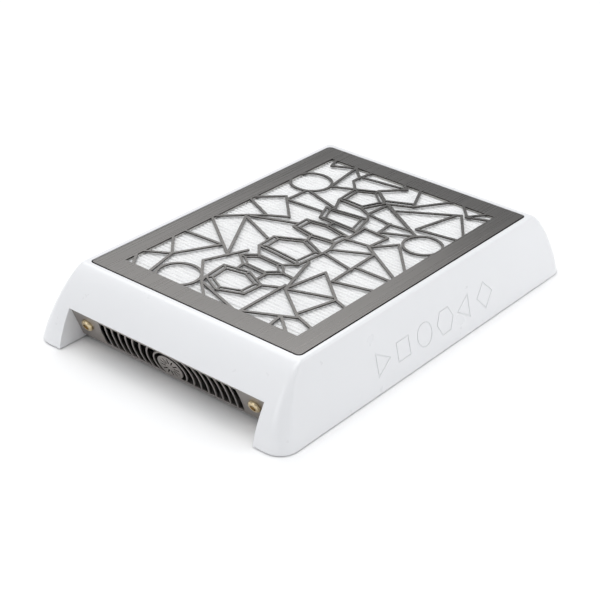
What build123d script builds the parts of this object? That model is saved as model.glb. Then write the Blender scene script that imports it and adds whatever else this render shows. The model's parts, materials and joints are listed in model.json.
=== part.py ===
from build123d import *
import os
from math import atan, atan2, cos, degrees, hypot, radians, sin

# Nail dust collector. Millimetres, +Z up, -Y is the front end, origin on the table under the centre.
# Heights in this file are counted from the housing's bottom edge, and level() turns them into planes.

# ---------------------------------------------------------------- driving dimensions
case_bottom = 1.0            # the rubber feet hold the housing this far off the table
case_height = 52.0
case_half_width = 111.7      # at the bottom edge
side_slope = 0.28            # the flat long sides lean in by this much per unit of height
case_half_length = 172.3     # at the bottom edge
top_half_length = 138.5      # where the rounded ends run into the top
end_power = 1.38             # the ends' profile is a superellipse
end_root = 1.5
corner_low = 14.0            # plan radius of the corners at the bottom edge
corner_high = 2.6            # and at the top
least_corner = 1.2
top_edge_radius = 2.2
edge_ease = 0.01             # the rounding starts this far outside the flat sides
wall = 3.0
top_skin = 5.0

slot_half_width = 87.0       # the end slots, between the legs
slot_height = 27.9
slot_reach = 30.0            # longer than any wall that the slots are cut through
leg_depth = 145.0            # the legs' inner walls start this far from the centre

grille_width = 184.7
grille_length = 270.0
grille_thickness = 1.0
grille_proud = 0.2           # how far the plate stands above the housing
grille_corner = 3.0
grille_gap = 1.0             # all round the plate, in its recess
grille_opening_width = 152.9
grille_opening_length = 234.8
bar_width = 2.1

bay_half_width = 80.0        # filter bay
bay_half_length = 121.5
bay_corner = 2.0
bay_floor = 30.0             # the deck's top
deck_thickness = 1.5

base_floor = 0.9             # underside of the base plate
base_thickness = 1.5
base_top = base_floor + base_thickness
base_half_width = 104.5
base_half_length = 144.7

sheet = 1.0                  # vent panels
vent_lean = 24.0             # from vertical, top outwards
vent_foot_y = 150.6          # the panel's outer face, at vent_foot height
vent_foot = 4.8
vent_half_width = 86.7
vent_top = 27.5
vent_zone_low = 0.6          # slotted band, measured up the slope from vent_foot
vent_zone_high = 22.3
vent_middle = 9.4            # the height of the disc's centre, up the slope
vent_disc_radius = 10.7
vent_ring_inner = 13.5
vent_ring_outer = 14.7
vent_pitch = 6.15
vent_slot = 4.85
vent_screw_x = 75.0
vent_screw_v = 13.6          # height up the slope
vent_block_x = 80.5          # blocks in the legs that take the panels' screws
vent_block_width = 18.0
vent_block_height = 11.0
vent_block_depth = 9.0
vent_screw_hole = 8.0
screw_radius = 1.5

impeller_radius = 62.0
blade_count = 11
shaft_radius = 1.5
running_gap = 0.03

os.makedirs("parts", exist_ok=True)


# ---------------------------------------------------------------- shared shapes
def level(height):
    """A horizontal plane this far above the housing's bottom edge."""
    return Plane.XY.offset(case_bottom + height)


def half_width(height):
    return case_half_width - side_slope * height


def half_length(height):
    share = 1 - (max(height, 0) / case_height) ** end_power
    return top_half_length + (case_half_length - top_half_length) * max(share, 0) ** (1 / end_root)


def corner(height):
    return corner_low + (corner_high - corner_low) * height / case_height


def case_section(height, inset=0.0):
    """The housing's plan outline at one height, moved in by inset."""
    RectangleRounded(
        2 * (half_width(height) - inset),
        2 * (half_length(height) - inset),
        max(corner(height) - inset, least_corner),
    )


def vent_plane(side, inset=0.0):
    """The outer face of a vent panel, moved inwards by inset. X runs across, Y up the slope."""
    lean = radians(vent_lean)
    normal = Vector(0, side * cos(lean), -sin(lean))
    foot = Vector(0, side * vent_foot_y, case_bottom + vent_foot)
    return Plane(origin=foot - normal * inset, x_dir=(-side, 0, 0), z_dir=normal)


# ---------------------------------------------------------------- housing
section_heights = [0, 8, 16, 24, 31, 37, 42, 46, 49, 50.9, case_height]
ceiling = case_height - top_skin
inner_heights = [-1, 8, 16, 24, 31, 37, 42, ceiling]
deck_boss_x = 86.5
deck_boss_y = 105.0
deck_bosses = [(x, y) for x in (-deck_boss_x, deck_boss_x) for y in (-deck_boss_y, 0, deck_boss_y)]
base_boss_x = 100.0
base_bosses = [(x, y) for x in (-base_boss_x, base_boss_x) for y in (-125, -42, 42, 125)]
end_wall_start = 157.2       # the slots are cut through the end walls from here outwards
boss_radius = 4.0
boss_hole_depth = 12.0
foot_x = 99.5
foot_y = 158.0
foot_radius = 6.5
foot_recess = 2.0
leg_floor = 4.0
magnet_x = 86.3
magnet_y = 128.4
magnet_radius = 4.0
magnet_thickness = 2.0
magnet_places = [(x, y) for x in (-magnet_x, magnet_x) for y in (-magnet_y, 0, magnet_y)]
ledge = case_height + grille_proud - grille_thickness

with BuildPart() as hollow:
    # the space inside the shell, with the walls and bosses that stand in it taken out
    for height in inner_heights:
        with BuildSketch(level(height)):
            case_section(height, wall)
    loft()
    with BuildSketch(level(bay_floor)):
        Rectangle(2 * (bay_half_width + wall), 2 * (bay_half_length + wall))
    extrude(amount=case_height, mode=Mode.SUBTRACT)
    with BuildSketch(level(bay_floor)):
        with Locations(*deck_bosses):
            Circle(boss_radius)
    extrude(amount=case_height, mode=Mode.SUBTRACT)
    with BuildSketch(level(base_top)):
        with Locations(*base_bosses):
            Circle(boss_radius)
    extrude(amount=bay_floor, mode=Mode.SUBTRACT)
    for side in (-1, 1):
        for hand in (-1, 1):
            # leg wall beside the slot
            with BuildSketch(level(-1)):
                with Locations((hand * (slot_half_width + wall / 2), side * (leg_depth + slot_reach / 2))):
                    Rectangle(wall, slot_reach)
            extrude(amount=case_height, mode=Mode.SUBTRACT)
            # floor of the leg, which holds the foot
            with BuildSketch(level(-1)):
                leg_middle = (hand * (slot_half_width + slot_reach / 2), side * (leg_depth + slot_reach / 2))
                with Locations(leg_middle):
                    Rectangle(slot_reach, slot_reach)
            extrude(amount=1 + leg_floor, mode=Mode.SUBTRACT)
        # blocks behind the vent panel that take its screws
        with BuildSketch(vent_plane(side, sheet)):
            with Locations((-vent_block_x, vent_screw_v), (vent_block_x, vent_screw_v)):
                Rectangle(vent_block_width, vent_block_height)
        extrude(amount=-vent_block_depth, mode=Mode.SUBTRACT)

side_lean = degrees(atan(side_slope))
side_face = Plane(
    origin=(case_half_width, 0, case_bottom), x_dir=(0, 1, 0),
    z_dir=(cos(radians(side_lean)), 0, sin(radians(side_lean))),
)
motif_line = 0.9
motif_depth = 0.3
motif_size = 10.5            # the polygons' corners, from their centres
motif_circle = 9.0
motif_height = 20.0
motif_first = -63.0
motif_pitch = 25.2
motif_shapes = [(3, 0), (4, 45), (0, 0), (6, 0), (3, 60), (4, 0)]      # sides and turn, 0 sides for a circle


def outline_mark(sides, place, turn):
    """One engraved outline: a polygon with this many sides, or a circle for 0."""
    with Locations(Location((place, motif_height), turn)):
        if sides == 0:
            Circle(motif_circle)
            Circle(motif_circle - motif_line, mode=Mode.SUBTRACT)
        else:
            RegularPolygon(motif_size, sides)
            RegularPolygon(motif_size - motif_line / cos(radians(180 / sides)), sides, mode=Mode.SUBTRACT)


with BuildPart() as housing:
    for height in section_heights:
        with BuildSketch(level(height)):
            case_section(height)
    loft()
    # rounded long edges
    with BuildSketch(Plane.XZ) as section:
        with BuildLine():
            Polyline(
                (-half_width(-2) - edge_ease, case_bottom - 2),
                (half_width(-2) + edge_ease, case_bottom - 2),
                (half_width(case_height) + edge_ease, case_bottom + case_height),
                (-half_width(case_height) - edge_ease, case_bottom + case_height),
                close=True,
            )
        make_face()
        fillet(section.vertices().group_by(Axis.Y)[-1], top_edge_radius)
    extrude(amount=2 * case_half_length, both=True, mode=Mode.INTERSECT)
    add(hollow.part, mode=Mode.SUBTRACT)
    # end slots, open to the table
    for side in (-1, 1):
        with BuildSketch(level(-1)):
            with Locations((0, side * (end_wall_start + slot_reach / 2))):
                Rectangle(2 * slot_half_width, slot_reach)
        extrude(amount=1 + slot_height, mode=Mode.SUBTRACT)
    # filter bay and the grille's recess above it
    with BuildSketch(level(bay_floor - 1)):
        RectangleRounded(2 * bay_half_width, 2 * bay_half_length, bay_corner)
    extrude(amount=case_height, mode=Mode.SUBTRACT)
    with BuildSketch(level(ledge)):
        RectangleRounded(
            grille_width + 2 * grille_gap, grille_length + 2 * grille_gap, grille_corner + grille_gap
        )
    extrude(amount=grille_thickness, mode=Mode.SUBTRACT)
    # magnet pockets
    with BuildSketch(level(ledge)):
        with Locations(*magnet_places):
            Circle(magnet_radius)
    extrude(amount=-magnet_thickness, mode=Mode.SUBTRACT)
    # screw holes in the bosses
    with BuildSketch(level(bay_floor)):
        with Locations(*deck_bosses):
            Circle(screw_radius)
    extrude(amount=boss_hole_depth, mode=Mode.SUBTRACT)
    with BuildSketch(level(base_top)):
        with Locations(*base_bosses):
            Circle(screw_radius)
    extrude(amount=boss_hole_depth, mode=Mode.SUBTRACT)
    for side in (-1, 1):
        with BuildSketch(vent_plane(side, sheet)):
            with Locations((-vent_screw_x, vent_screw_v), (vent_screw_x, vent_screw_v)):
                Circle(screw_radius)
        extrude(amount=-vent_screw_hole, mode=Mode.SUBTRACT)
    # recesses for the feet
    with BuildSketch(level(0)):
        with GridLocations(2 * foot_x, 2 * foot_y, 2, 2):
            Circle(foot_radius)
    extrude(amount=foot_recess, mode=Mode.SUBTRACT)
    # faint engraved outlines along the right-hand side
    with BuildSketch(side_face.offset(-motif_depth)):
        for index, (sides, turn) in enumerate(motif_shapes):
            outline_mark(sides, motif_first + motif_pitch * index, turn)
    extrude(amount=2 * motif_depth, mode=Mode.SUBTRACT)
housing.part.label = "housing"
export_step(housing.part, "parts/housing.step")


# ---------------------------------------------------------------- top grille
# Bars of the lattice as runs of points, in plan.
lattice_runs = [
    [(-73, 119), (-69, 107), (-53, 116)],
    [(-52, 118), (-46, 76)],
    [(-52, 117), (-39, 104), (-39, 96), (-29, 85)],
    [(-37, 119), (-39, 104)],
    [(-39, 106), (1, 112)],
    [(-8, 119), (1, 112), (-14, 95), (0, 84), (19, 94)],
    [(9, 119), (22, 90), (40, 119)],
    [(22, 90), (5, 81)],
    [(17, 76), (57, 103)],
    [(48, 119), (61, 104), (71, 119)],
    [(61, 103), (79, 111)],
    [(54, 101), (45, 61), (79, 67)],
    [(57, 103), (79, 72)],
    [(-46, 76), (-29, 85)],
    [(-55, 57), (-56, 35), (-24, 37)],
    [(-52, 58), (-20, 48)],
    [(-79, 20), (-60, 39), (-36, 13), (-50, 4), (-79, 18)],
    [(-50, 4), (-61, -6), (-79, -25)],
    [(-58, -5), (-25, 9)],
    [(-60, -8), (-26, -24)],
    [(-60, -8), (-31, -62)],
    [(-79, -25), (-30, -63)],
    [(-79, -56), (-43, -54), (-60, -88), (-79, -66)],
    [(-60, -88), (-79, -100)],
    [(-60, -88), (-53, -119)],
    [(-79, -103), (-68, -119)],
    [(-24, -48), (-37, -81), (-18, -104), (-2, -119)],
    [(-18, -104), (22, -118)],
    [(5, 81), (52, 51)],
    [(50, 50), (29, 39)],
    [(26, 55), (28, 36)],
    [(16, 36), (38, 35), (36, 16), (17, 13), (16, 36)],
    [(50, 32), (38, 16)],
    [(50, 32), (79, -1)],
    [(35, 15), (79, -13)],
    [(44, 7), (18, -8)],
    [(46, 8), (48, -44), (79, -35)],
    [(48, -17), (79, -17)],
    [(19, -15), (48, -22)],
    [(31, -72), (37, -37), (66, -63), (79, -68)],
    [(31, -74), (64, -61)],
    [(66, -63), (58, -94)],
    [(31, -74), (60, -97), (79, -104)],
    [(19, -33), (31, -73)],
    [(28, -70), (28, -118)],
    [(28, -117), (61, -99)],
    [(54, -119), (52, -104), (69, -119)],
]
lattice_rings = [((-62, 72), 16.2), ((63.5, 42.5), 14.5), ((-36, -107), 15.8)]

# Cut-gem shapes down the middle of the grille: an outline, a thinner one inside it and a rib at each corner.
gem_outlines = [
    [(-22, -76), (-2, -72), (16, -81), (15, -98), (-3, -106), (-20, -97)],
    [(-24, -57), (-14, -48), (8, -49), (17, -58), (8, -67), (-13, -66)],
    [(-23, -37), (16, -41), (18, -17), (-3, -7), (-24, -19)],
    [(-24, 3), (-5, -1), (15, 2), (16, 17), (-6, 22), (-24, 19)],
    [(-26, 45), (-19, 28), (15, 27), (9, 50)],
    [(-29, 85), (-13, 94), (3, 80), (-5, 61), (-27, 62)],
]
gem_inset = 0.76             # the inner outline's share of the outer one
gem_bar = 1.7
gem_inner_bar = 1.4
link_runs = [
    [(6, 79), (44, 56), (26, 54), (4, 57), (6, 79)],
    [(-27, 62), (-20, 48)],
    [(-5, 61), (4, 57), (9, 50)],
    [(-6, 22), (-6, 28)],
    [(-5, -1), (-3, -7)],
    [(15, 2), (18, -8), (18, -17)],
    [(-23, -37), (-14, -48)],
    [(8, -49), (16, -41)],
    [(-13, -66), (-12, -74)],
    [(8, -67), (8, -77)],
    [(17, -58), (27, -59)],
    [(16, -81), (28, -74)],
    [(-20, -97), (-18, -104)],
]
joint_ease = 0.08            # the rounded joints stand this far proud of their bars


def gem_runs(points):
    """One cut-gem shape as three lists of runs with their bar widths."""
    centre_x = sum(x for x, y in points) / len(points)
    centre_y = sum(y for x, y in points) / len(points)
    inner = [
        (centre_x + gem_inset * (x - centre_x), centre_y + gem_inset * (y - centre_y)) for x, y in points
    ]
    outlines = [(points + points[:1], gem_bar), (inner + inner[:1], gem_inner_bar)]
    return outlines + [(list(rib), gem_inner_bar) for rib in zip(points, inner)]


grille_runs = [(run, bar_width) for run in lattice_runs + link_runs]
for points in gem_outlines:
    grille_runs += gem_runs(points)


def bars(run, width):
    """Straight bars between the points of a run, in plan."""
    pieces = []
    for start, end in zip(run, run[1:]):
        across, along = end[0] - start[0], end[1] - start[1]
        middle = ((start[0] + end[0]) / 2, (start[1] + end[1]) / 2, 0)
        turn = degrees(atan2(along, across))
        pieces.append(Location(middle, turn) * Rectangle(hypot(across, along), width))
    return pieces


grille_bars = [piece for run, width in grille_runs for piece in bars(run, width)]
joints = sorted({(point, width) for run, width in grille_runs for point in run})
grille_joints = [Location((*point, 0)) * Circle(width / 2 + joint_ease) for point, width in joints]

with BuildSketch(level(ledge)) as lattice:
    add(grille_bars + grille_joints)
    for centre, radius in lattice_rings:
        with Locations(centre):
            Circle(radius + bar_width / 2)
            Circle(radius - bar_width / 2, mode=Mode.SUBTRACT)

with BuildPart() as top_grille:
    with BuildSketch(level(ledge)):
        RectangleRounded(grille_width, grille_length, grille_corner)
        Rectangle(grille_opening_width, grille_opening_length, mode=Mode.SUBTRACT)
        add(lattice.sketch_local)
    extrude(amount=grille_thickness)
top_grille.part.label = "top_grille"
export_step(top_grille.part, "parts/top_grille.step")


# ---------------------------------------------------------------- filter cartridge
filter_gap = 0.6             # between the cartridge and the bay, each side
filter_floor = 33.3
filter_top = 50.6
filter_wall = 2.4
media_floor = 34.8
media_top = 50.3
pleat_pitch = 3.8
pleat_drop = 3.2             # vertical thickness of the paper on its steep flanks
seal_width = 7.0
seal_floor = bay_floor + 0.3    # just clear of the deck
filter_half_width = bay_half_width - filter_gap
filter_half_length = bay_half_length - filter_gap
filter_corner = 1.5
media_half_width = filter_half_width - filter_wall
media_half_length = filter_half_length - filter_wall

with BuildPart() as filter_frame:
    with BuildSketch(level(filter_floor)):
        RectangleRounded(2 * filter_half_width, 2 * filter_half_length, filter_corner)
        Rectangle(2 * media_half_width, 2 * media_half_length, mode=Mode.SUBTRACT)
    extrude(amount=filter_top - filter_floor)
filter_frame.part.label = "filter_frame"
export_step(filter_frame.part, "parts/filter_frame.step")

pleat_count = round(2 * media_half_length / pleat_pitch)
fold_step = media_half_length / pleat_count
upper_folds = []
for index in range(2 * pleat_count + 1):
    height = media_top if index % 2 else media_floor + pleat_drop
    upper_folds.append((-media_half_length + index * fold_step, case_bottom + height))
lower_folds = [(y, z - pleat_drop) for y, z in reversed(upper_folds)]

with BuildPart() as filter_media:
    with BuildSketch(Plane.YZ.offset(-media_half_width)):
        with BuildLine():
            Polyline(*upper_folds, *lower_folds, close=True)
        make_face()
    extrude(amount=2 * media_half_width)
filter_media.part.label = "filter_media"
export_step(filter_media.part, "parts/filter_media.step")

with BuildPart() as filter_seal:
    with BuildSketch(level(seal_floor)):
        Rectangle(2 * filter_half_width, 2 * filter_half_length)
        offset(amount=-seal_width, mode=Mode.SUBTRACT)
    extrude(amount=filter_floor - seal_floor)
filter_seal.part.label = "filter_seal"
export_step(filter_seal.part, "parts/filter_seal.step")

with BuildPart() as grille_magnets:
    with BuildSketch(level(ledge)):
        with Locations(*magnet_places):
            Circle(magnet_radius)
    extrude(amount=-magnet_thickness)
grille_magnets.part.label = "grille_magnets"
export_step(grille_magnets.part, "parts/grille_magnets.step")


# ---------------------------------------------------------------- fan deck, inlet ring and guard
deck_half_width = 94.0
deck_half_length = 131.0
deck_floor = bay_floor - deck_thickness
deck_corner = 6.0
deck_hole_radius = 41.5
deck_screw_length = 11.0
ring_flange_radius = 50.0
ring_flange = 1.5
ring_top = bay_floor + ring_flange
bell_inner_radius = 37.0
bell_wall = 1.8
bell_floor = 24.9
bell_round = 4.0
bell_bulge = bell_round * (1 - cos(radians(45)))
guard_thickness = 1.0
guard_screw_radius = 47.5
guard_screw_turn = 45.0
guard_screw_length = 5.0
guard_bar = 2.0
guard_centre = 6.0
screw_head_radius = 2.6
screw_head = 1.2
screw_hex_radius = 1.1
screw_hex_depth = 0.7


def ring_places(radius, count, turn):
    return [
        (radius * cos(radians(turn + 360 * index / count)), radius * sin(radians(turn + 360 * index / count)))
        for index in range(count)
    ]


guard_screws_at = ring_places(guard_screw_radius, 4, guard_screw_turn)

with BuildPart() as fan_deck:
    with BuildSketch(level(deck_floor)):
        RectangleRounded(2 * deck_half_width, 2 * deck_half_length, deck_corner)
        Circle(deck_hole_radius, mode=Mode.SUBTRACT)
        with Locations(*deck_bosses, *guard_screws_at):
            Circle(screw_radius, mode=Mode.SUBTRACT)
    extrude(amount=deck_thickness)
fan_deck.part.label = "fan_deck"
export_step(fan_deck.part, "parts/fan_deck.step")


def screw_group(places, top, length):
    """Small screws whose heads rest on one height. The shanks go down, or up if the length is negative."""
    with BuildPart() as group:
        with BuildSketch(level(top)):
            with Locations(*places):
                Circle(screw_head_radius)
        extrude(amount=screw_head if length > 0 else -screw_head)
        with BuildSketch(level(top)):
            with Locations(*places):
                Circle(screw_radius)
        extrude(amount=-length)
        with BuildSketch(level(top + screw_head if length > 0 else top - screw_head)):
            with Locations(*places):
                RegularPolygon(screw_hex_radius, 6)
        extrude(amount=-screw_hex_depth if length > 0 else screw_hex_depth, mode=Mode.SUBTRACT)
    return group


deck_screws = screw_group(deck_bosses, deck_floor, -deck_screw_length)
deck_screws.part.label = "deck_screws"
export_step(deck_screws.part, "parts/deck_screws.step")

with BuildPart() as inlet_ring:
    with BuildSketch(Plane.XZ):
        with BuildLine():
            low = case_bottom + bell_floor
            top = case_bottom + ring_top
            under = case_bottom + bay_floor
            lip = bell_inner_radius + bell_wall
            Polyline((bell_inner_radius, low), (lip, low), (lip, under), (ring_flange_radius, under))
            Line((ring_flange_radius, under), (ring_flange_radius, top))
            Line((ring_flange_radius, top), (bell_inner_radius + bell_round, top))
            ThreePointArc(
                (bell_inner_radius + bell_round, top),
                (bell_inner_radius + bell_bulge, top - bell_bulge),
                (bell_inner_radius, top - bell_round),
            )
            Line((bell_inner_radius, top - bell_round), (bell_inner_radius, low))
        make_face()
    revolve(axis=Axis.Z)
    with BuildSketch(level(bay_floor)):
        with Locations(*guard_screws_at):
            Circle(screw_radius)
    extrude(amount=ring_flange, mode=Mode.SUBTRACT)
inlet_ring.part.label = "inlet_ring"
export_step(inlet_ring.part, "parts/inlet_ring.step")

guard_rings = [(guard_screw_radius, 2.5 * guard_bar), (36.0, guard_bar), (25.0, guard_bar), (14.0, guard_bar)]
with BuildPart() as inlet_guard:
    with BuildSketch(level(ring_top)):
        for radius, width in guard_rings:
            Circle(radius + width / 2)
            Circle(radius - width / 2, mode=Mode.SUBTRACT)
        with PolarLocations((guard_screw_radius + guard_centre) / 2, 4, start_angle=guard_screw_turn):
            Rectangle(guard_screw_radius - guard_centre, guard_bar)
        Circle(guard_centre + guard_bar)
        with Locations(*guard_screws_at):
            Circle(screw_radius, mode=Mode.SUBTRACT)
    extrude(amount=guard_thickness)
inlet_guard.part.label = "inlet_guard"
export_step(inlet_guard.part, "parts/inlet_guard.step")

guard_screws = screw_group(guard_screws_at, ring_top + guard_thickness, guard_screw_length)
guard_screws.part.label = "guard_screws"
export_step(guard_screws.part, "parts/guard_screws.step")


# ---------------------------------------------------------------- motor
motor_flange_radius = 27.0
motor_flange = 2.0
motor_flange_top = base_top + motor_flange
tube_radius = 7.0
tube_top = 19.4
bearing_radius = 5.0
bearing_width = 4.0
bearing_low = 5.6
bearing_high = tube_top - bearing_width
bearing_shoulder = 4.0
race_groove_inner = 2.4
race_groove_outer = 4.2
race_groove_depth = 0.3
motor_screws_at = ring_places(20.0, 4, 45)
can_radius = 23.5
can_wall = 1.5
can_floor = 7.4
can_top = 21.4
can_rounding = 1.0
can_boss_radius = 4.0
can_boss = 1.6
can_windows = 6
can_window_at = 12.5
can_window_radius = 2.6
rotor_magnet_height = 8.5
shaft_end_gap = 0.3
shaft_above_can = 1.8
shaft_chamfer = 0.2
magnet_ring_inner = 19.6
core_radius = 19.0
core_floor = 8.2
core_top = 15.2
core_hub_radius = 11.0
teeth = 9
tooth_middle = 13.5
tooth_length = 9.0
tooth_width = 4.0
shoe_middle = 18.0
shoe_depth = 2.6
shoe_width = 10.5
winding_middle = 14.0
winding_length = 5.0
winding_width = 6.6
winding_overhang = 1.3
impeller_floor = 7.9
impeller_plate = 1.5
impeller_skin = 1.6            # the hub's wall, around and over the can
hub_rounding = 1.5
blade_width = 1.6
blade_root = (33.0, 0.0)
blade_middle = (48.5, 9.5)
blade_tip = (55.5, 26.0)
hub_screws_at = ring_places(18.5, 3, 0)
hub_screw_head_radius = 2.4
hub_screw_head = 1.0
shroud_floor = 22.4
shroud_thickness = 1.4
shroud_inner = 41.0
collar_top = 25.8

with BuildPart() as motor_base:
    with BuildSketch(level(base_top)):
        Circle(motor_flange_radius)
    extrude(amount=motor_flange)
    with BuildSketch(level(motor_flange_top)):
        Circle(tube_radius)
    extrude(amount=tube_top - motor_flange_top)
    with BuildSketch(level(bearing_low)):
        Circle(bearing_shoulder)
    extrude(amount=tube_top, mode=Mode.SUBTRACT)
    with BuildSketch(level(bearing_low), level(bearing_high)):
        Circle(bearing_radius)
    extrude(amount=bearing_width, mode=Mode.SUBTRACT)
    with BuildSketch(level(base_top)):
        with Locations(*motor_screws_at):
            Circle(screw_radius)
    extrude(amount=motor_flange, mode=Mode.SUBTRACT)
motor_base.part.label = "motor_base"
export_step(motor_base.part, "parts/motor_base.step")

for name, floor in (("lower_bearing", bearing_low), ("upper_bearing", bearing_high)):
    with BuildPart() as bearing:
        with BuildSketch(level(floor)):
            Circle(bearing_radius)
            Circle(shaft_radius + running_gap, mode=Mode.SUBTRACT)
        extrude(amount=bearing_width)
        # shallow face grooves between the races
        with BuildSketch(level(floor), level(floor + bearing_width - race_groove_depth)):
            Circle(race_groove_outer)
            Circle(race_groove_inner, mode=Mode.SUBTRACT)
        extrude(amount=race_groove_depth, mode=Mode.SUBTRACT)
    bearing.part.label = name
    export_step(bearing.part, f"parts/{name}.step")

with BuildPart() as stator_core:
    with BuildSketch(level(core_floor)):
        with PolarLocations(tooth_middle, teeth):
            Rectangle(tooth_length, tooth_width)
        with PolarLocations(shoe_middle, teeth):
            Rectangle(shoe_depth, shoe_width)
        Circle(core_hub_radius)
        Circle(core_radius, mode=Mode.INTERSECT)
        Circle(tube_radius, mode=Mode.SUBTRACT)
    extrude(amount=core_top - core_floor)
stator_core.part.label = "stator_core"
export_step(stator_core.part, "parts/stator_core.step")

with BuildPart() as stator_windings:
    with BuildSketch(level(core_floor - winding_overhang)):
        with PolarLocations(winding_middle, teeth):
            Rectangle(winding_length, winding_width)
    extrude(amount=core_top - core_floor + 2 * winding_overhang)
    with BuildSketch(level(core_floor)):
        with PolarLocations(winding_middle, teeth):
            Rectangle(tooth_length, tooth_width)
    extrude(amount=core_top - core_floor, mode=Mode.SUBTRACT)
stator_windings.part.label = "stator_windings"
export_step(stator_windings.part, "parts/stator_windings.step")

with BuildPart() as motor_shaft:
    with BuildSketch(level(bearing_low + shaft_end_gap)):
        Circle(shaft_radius)
    extrude(amount=can_top + shaft_above_can - bearing_low - shaft_end_gap)
    chamfer(motor_shaft.edges().filter_by(GeomType.CIRCLE), shaft_chamfer)
motor_shaft.part.label = "motor_shaft"
export_step(motor_shaft.part, "parts/motor_shaft.step")

with BuildPart() as rotor_can:
    with BuildSketch(level(can_floor)):
        Circle(can_radius)
    extrude(amount=can_top - can_floor)
    fillet(rotor_can.faces().sort_by(Axis.Z)[-1].edges(), can_rounding)
    with BuildSketch(level(can_floor)):
        Circle(can_radius - can_wall)
    extrude(amount=can_top - can_wall - can_floor, mode=Mode.SUBTRACT)
    with BuildSketch(level(can_top - can_wall)):
        Circle(can_boss_radius)
    extrude(amount=can_wall + can_boss)
    with BuildSketch(level(can_floor)):
        Circle(shaft_radius)
    extrude(amount=can_top, mode=Mode.SUBTRACT)
    # cooling windows in the can's top
    with BuildSketch(level(can_top - can_wall)):
        with PolarLocations(can_window_at, can_windows):
            Circle(can_window_radius)
    extrude(amount=can_wall, mode=Mode.SUBTRACT)
rotor_can.part.label = "rotor_can"
export_step(rotor_can.part, "parts/rotor_can.step")

with BuildPart() as rotor_magnet:
    with BuildSketch(level(core_top - rotor_magnet_height + winding_overhang)):
        Circle(can_radius - can_wall)
        Circle(magnet_ring_inner, mode=Mode.SUBTRACT)
    extrude(amount=rotor_magnet_height)
rotor_magnet.part.label = "rotor_magnet"
export_step(rotor_magnet.part, "parts/rotor_magnet.step")

with BuildSketch() as blade:
    # one backward-curved blade in plan
    with BuildLine() as blade_line:
        ThreePointArc(blade_root, blade_middle, blade_tip)
    trace(line_width=blade_width)

with BuildPart() as impeller:
    with BuildSketch(level(impeller_floor)):
        Circle(impeller_radius)
        Circle(can_radius, mode=Mode.SUBTRACT)
    extrude(amount=impeller_plate)
    with BuildSketch(level(impeller_floor)):
        Circle(can_radius + impeller_skin)
    extrude(amount=can_top + impeller_skin - impeller_floor)
    fillet(impeller.faces().sort_by(Axis.Z)[-1].edges(), hub_rounding)
    with BuildSketch(level(impeller_floor)):
        Circle(can_radius)
    extrude(amount=can_top - impeller_floor, mode=Mode.SUBTRACT)
    with BuildSketch(level(can_top)):
        Circle(can_boss_radius)
        with Locations(*hub_screws_at):
            Circle(screw_radius)
    extrude(amount=impeller_skin, mode=Mode.SUBTRACT)
    with BuildSketch(level(impeller_floor + impeller_plate)):
        with PolarLocations(0, blade_count):
            add(blade.sketch)
    extrude(amount=shroud_floor - impeller_floor - impeller_plate)
    with BuildSketch(level(shroud_floor)):
        Circle(impeller_radius)
        Circle(shroud_inner, mode=Mode.SUBTRACT)
    extrude(amount=shroud_thickness)
    with BuildSketch(level(shroud_floor)):
        Circle(shroud_inner + shroud_thickness)
        Circle(shroud_inner, mode=Mode.SUBTRACT)
    extrude(amount=collar_top - shroud_floor)
impeller.part.label = "impeller"
export_step(impeller.part, "parts/impeller.step")

with BuildPart() as impeller_screws:
    with BuildSketch(level(can_top + impeller_skin)):
        with Locations(*hub_screws_at):
            Circle(hub_screw_head_radius)
    extrude(amount=hub_screw_head)
    with BuildSketch(level(can_top)):
        with Locations(*hub_screws_at):
            Circle(screw_radius)
    extrude(amount=impeller_skin)
impeller_screws.part.label = "impeller_screws"
export_step(impeller_screws.part, "parts/impeller_screws.step")


# ---------------------------------------------------------------- base plate, its screws and the feet
csk_radius = 2.9
csk_depth = 1.2
drive_radius = 1.2
drive_depth = 0.7
base_screw_length = 10.0
base_corner = 5.0
foot_chamfer = 0.5
upward = (Align.CENTER, Align.CENTER, Align.MIN)
bottom_screws_at = base_bosses + motor_screws_at

with BuildPart() as base_plate:
    with BuildSketch(level(base_floor)):
        RectangleRounded(2 * base_half_width, 2 * base_half_length, base_corner)
    extrude(amount=base_thickness)
    with Locations(*[(x, y, case_bottom + base_floor) for x, y in bottom_screws_at]):
        Cone(csk_radius, screw_radius, csk_depth, align=upward, mode=Mode.SUBTRACT)
        Cylinder(screw_radius, base_thickness, align=upward, mode=Mode.SUBTRACT)
base_plate.part.label = "base_plate"
export_step(base_plate.part, "parts/base_plate.step")


def countersunk_group(places, length):
    """Countersunk screws driven up through the base plate, heads flush with its underside."""
    with BuildPart() as group:
        with Locations(*[(x, y, case_bottom + base_floor) for x, y in places]):
            Cone(csk_radius, screw_radius, csk_depth, align=upward)
            Cylinder(screw_radius, length, align=upward)
            Cylinder(drive_radius, drive_depth, align=upward, mode=Mode.SUBTRACT)
    return group


base_screws = countersunk_group(base_bosses, base_screw_length)
base_screws.part.label = "base_screws"
export_step(base_screws.part, "parts/base_screws.step")

motor_screws = countersunk_group(motor_screws_at, base_thickness + motor_flange)
motor_screws.part.label = "motor_screws"
export_step(motor_screws.part, "parts/motor_screws.step")

feet = {
    "foot_front_left": (-foot_x, -foot_y),
    "foot_front_right": (foot_x, -foot_y),
    "foot_rear_left": (-foot_x, foot_y),
    "foot_rear_right": (foot_x, foot_y),
}
for name, place in feet.items():
    with BuildPart() as foot:
        with BuildSketch(Plane.XY):
            with Locations(place):
                Circle(foot_radius)
        extrude(amount=case_bottom + foot_recess)
        chamfer(foot.faces().sort_by(Axis.Z)[0].edges(), foot_chamfer)
    foot.part.label = name
    export_step(foot.part, f"parts/{name}.step")


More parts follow.
